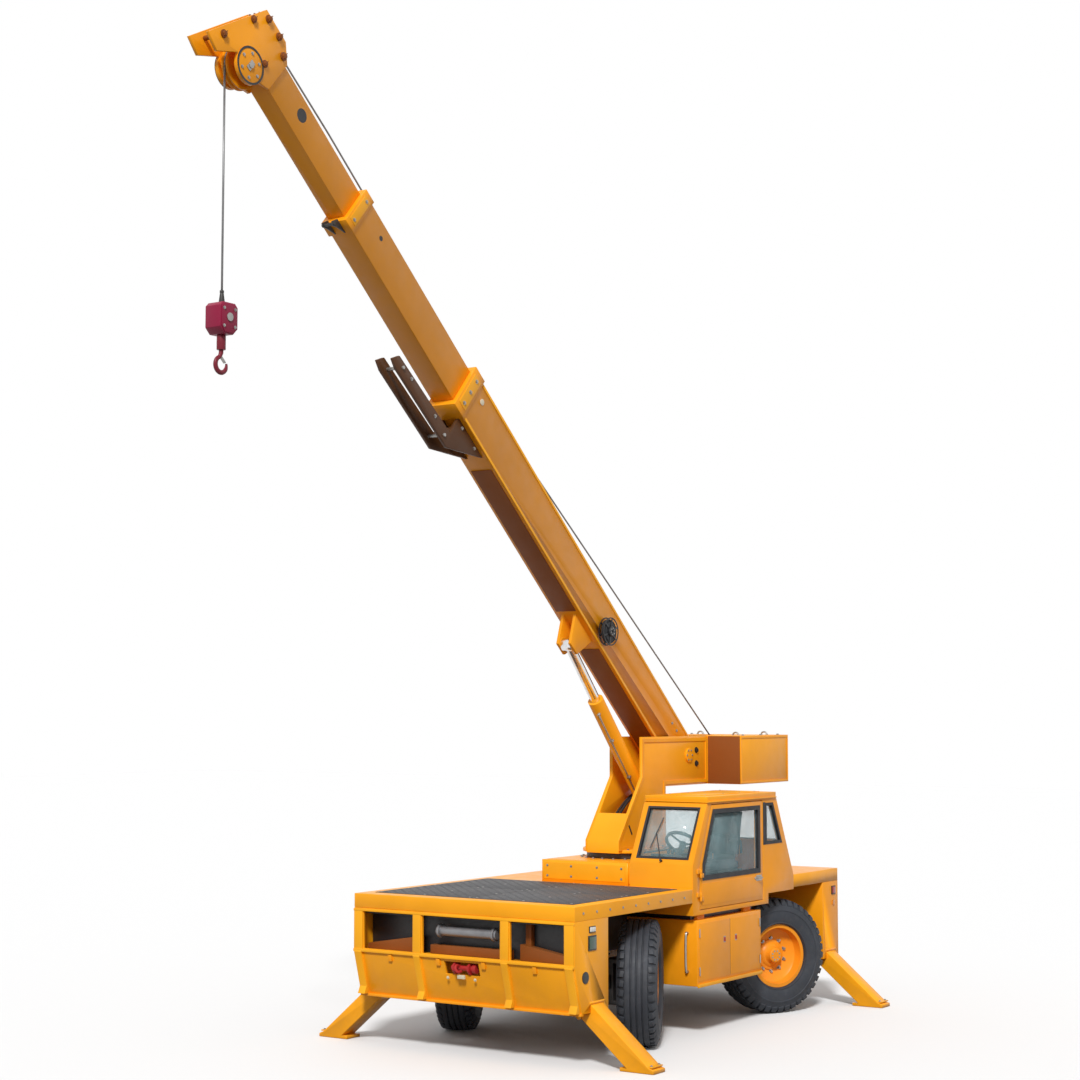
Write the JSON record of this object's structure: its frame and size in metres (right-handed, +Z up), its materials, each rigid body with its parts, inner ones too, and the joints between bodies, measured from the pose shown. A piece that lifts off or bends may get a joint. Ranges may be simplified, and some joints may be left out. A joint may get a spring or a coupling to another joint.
{
  "type": "industrial carry-deck crane",
  "caption": "Mobile carry-deck crane with a slewing turret, telescopic boom, offset cab, load deck, four-wheel steering and slanted outriggers.",
  "frame": {"origin": "middle of the whole crane's footprint with the boom at rest, on the ground", "axes": "+X forwards, the way the boom points at rest; +Y to the left, the cab's side; +Z up"},
  "size_m": [8.8206, 3.7, 8.7404],
  "materials": {
    "bare_steel": "satin",
    "cab_glass": "clear",
    "chromed_rod": "polished",
    "dark_steel": "satin",
    "engine_iron": "rough",
    "hook_block_paint": "satin",
    "orange_paint": "satin, clean",
    "rim_paint": "satin",
    "rubber": "matte",
    "seat_vinyl": "matte",
    "yellow_paint": "satin, clean"
  },
  "bodies": {
    "carrier": {"chassis_frame": "dark_steel", "engine_block": "engine_iron", "deck": "yellow_paint", "turret_platform": "yellow_paint", "front_body": "yellow_paint", "rear_body": "orange_paint", "left_side_box": "orange_paint", "right_side_box": "orange_paint", "front_axle": "dark_steel", "rear_axle": "dark_steel", "cab_shell": "orange_paint", "cab_roof": "orange_paint", "windscreen": "cab_glass", "rear_glass": "cab_glass", "quarter_glass": "cab_glass", "right_glass": "cab_glass", "operator_seat": "seat_vinyl", "console": "dark_steel", "steering_wheel": "rubber", "slew_ring": "dark_steel"},
    "upper": {"turret": "yellow_paint", "counterweight": "yellow_paint"},
    "winch": {"winch_drum": "dark_steel"},
    "boom_base_body": {"boom_base": "yellow_paint", "hook_fork": "dark_steel"},
    "cable_reel_body": {"cable_reel": "rubber"},
    "boom_mid_body": {"boom_mid": "yellow_paint"},
    "boom_tip_body": {"boom_tip": "yellow_paint"},
    "sheave": {"hoist_sheave": "dark_steel"},
    "hoist_line": {"hoist_rope": "bare_steel", "hook_block": "hook_block_paint"},
    "hook_body": {"hook": "bare_steel"},
    "lift_barrel": {"lift_cylinder_barrel": "yellow_paint"},
    "lift_rod": {"lift_cylinder_rod": "chromed_rod"},
    "door": {"cab_door": "orange_paint", "door_glass": "cab_glass"},
    "steered_front_left": {"knuckle_front_left": "dark_steel"},
    "wheel_front_left": {"rim_front_left": "rim_paint", "tyre_front_left": "rubber"},
    "leg_front_left": {"outrigger_front_left": "yellow_paint"},
    "steered_front_right": {"knuckle_front_right": "dark_steel"},
    "wheel_front_right": {"rim_front_right": "rim_paint", "tyre_front_right": "rubber"},
    "leg_front_right": {"outrigger_front_right": "yellow_paint"},
    "steered_rear_left": {"knuckle_rear_left": "dark_steel"},
    "wheel_rear_left": {"rim_rear_left": "rim_paint", "tyre_rear_left": "rubber"},
    "leg_rear_left": {"outrigger_rear_left": "yellow_paint"},
    "steered_rear_right": {"knuckle_rear_right": "dark_steel"},
    "wheel_rear_right": {"rim_rear_right": "rim_paint", "tyre_rear_right": "rubber"},
    "leg_rear_right": {"outrigger_rear_right": "yellow_paint"}
  },
  "joints": [
    {"name": "slew", "type": "hinge", "parent": "carrier", "child": "upper", "pos_m": [-1.96029, 0, 0], "axis": [0, 0, -1], "continuous": true},
    {"name": "boom_luff", "type": "hinge", "parent": "upper", "child": "boom_base_body", "pos_m": [-2.91029, 0, 2.62], "axis": [0, -1, 0], "range_deg": [-38, 29]},
    {"name": "lift_cylinder_tilt", "type": "hinge", "parent": "upper", "child": "lift_barrel", "pos_m": [-2.33029, 0, 2.14], "axis": [0, -1, 0], "range_deg": [-40, 31]},
    {"name": "lift_cylinder_stroke", "type": "slide", "parent": "lift_barrel", "child": "lift_rod", "axis": [0.6686, 0, 0.7436], "range_m": [-0.47, 0.36]},
    {"name": "boom_mid_extend", "type": "slide", "parent": "boom_base_body", "child": "boom_mid_body", "axis": [0.7547, 0, 0.6561], "range_m": [-1.86, 2.1]},
    {"name": "boom_tip_extend", "type": "slide", "parent": "boom_mid_body", "child": "boom_tip_body", "axis": [0.7547, 0, 0.6561], "range_m": [-1.18, 2.2]},
    {"name": "sheave_spin", "type": "hinge", "parent": "boom_tip_body", "child": "sheave", "pos_m": [3.92798, 0, 8.22786], "axis": [0, 1, 0], "continuous": true},
    {"name": "hoist_line_hang", "type": "hinge", "parent": "boom_tip_body", "child": "hoist_line", "pos_m": [3.92798, 0, 8.22786], "axis": [0, -1, 0], "range_deg": [-29, 38]},
    {"name": "hook_swivel", "type": "hinge", "parent": "hoist_line", "child": "hook_body", "pos_m": [4.09728, 0, 6.03756], "axis": [0, 0, 1], "continuous": true},
    {"name": "winch_turn", "type": "hinge", "parent": "upper", "child": "winch", "pos_m": [-3.76029, 0, 2.62], "axis": [0, 1, 0], "continuous": true},
    {"name": "cable_reel_turn", "type": "hinge", "parent": "boom_base_body", "child": "cable_reel_body", "pos_m": [-1.32017, 0.1453, 3.86977], "axis": [0, 1, 0], "continuous": true},
    {"name": "cab_door_open", "type": "hinge", "parent": "carrier", "child": "door", "pos_m": [-1.30779, 1.232, 0], "axis": [0, 0, -1], "range_deg": [0, 75]},
    {"name": "outrigger_retract_front_left", "type": "slide", "parent": "carrier", "child": "leg_front_left", "axis": [0, -0.766, 0.6428], "range_m": [0, 0.54]},
    {"name": "outrigger_retract_front_right", "type": "slide", "parent": "carrier", "child": "leg_front_right", "axis": [0, 0.766, 0.6428], "range_m": [0, 0.54]},
    {"name": "outrigger_retract_rear_left", "type": "slide", "parent": "carrier", "child": "leg_rear_left", "axis": [0, -0.766, 0.6428], "range_m": [0, 0.54]},
    {"name": "outrigger_retract_rear_right", "type": "slide", "parent": "carrier", "child": "leg_rear_right", "axis": [0, 0.766, 0.6428], "range_m": [0, 0.54]},
    {"name": "steer_front_left", "type": "hinge", "parent": "carrier", "child": "steered_front_left", "pos_m": [-0.53029, 0.86, 0.58], "axis": [0, 0, 1], "range_deg": [-57, 3]},
    {"name": "steer_front_right", "type": "hinge", "parent": "carrier", "child": "steered_front_right", "pos_m": [-0.53029, -0.86, 0.58], "axis": [0, 0, 1], "range_deg": [-57, 3]},
    {"name": "steer_rear_left", "type": "hinge", "parent": "carrier", "child": "steered_rear_left", "pos_m": [-3.24029, 0.86, 0.58], "axis": [0, 0, 1], "range_deg": [-3, 57]},
    {"name": "steer_rear_right", "type": "hinge", "parent": "carrier", "child": "steered_rear_right", "pos_m": [-3.24029, -0.86, 0.58], "axis": [0, 0, 1], "range_deg": [-3, 57]},
    {"name": "wheel_spin_front_left", "type": "hinge", "parent": "steered_front_left", "child": "wheel_front_left", "pos_m": [-0.59385, 0.98474, 0.58], "axis": [-0.454, 0.891, 0], "continuous": true},
    {"name": "wheel_spin_front_right", "type": "hinge", "parent": "steered_front_right", "child": "wheel_front_right", "pos_m": [-0.46674, -0.98474, 0.58], "axis": [-0.454, 0.891, 0], "continuous": true},
    {"name": "wheel_spin_rear_left", "type": "hinge", "parent": "steered_rear_left", "child": "wheel_rear_left", "pos_m": [-3.17673, 0.98474, 0.58], "axis": [0.454, 0.891, 0], "continuous": true},
    {"name": "wheel_spin_rear_right", "type": "hinge", "parent": "steered_rear_right", "child": "wheel_rear_right", "pos_m": [-3.30385, -0.98474, 0.58], "axis": [0.454, 0.891, 0], "continuous": true}
  ],
  "couplings": [
    {"joint": "lift_cylinder_tilt", "follows": "boom_luff", "ratio": 1.0417},
    {"joint": "lift_cylinder_stroke", "follows": "boom_luff", "m_per_rad": 0.7055},
    {"joint": "hoist_line_hang", "follows": "boom_luff", "ratio": -1},
    {"joint": "steer_front_right", "follows": "steer_front_left", "ratio": 1},
    {"joint": "steer_rear_right", "follows": "steer_rear_left", "ratio": 1}
  ]
}
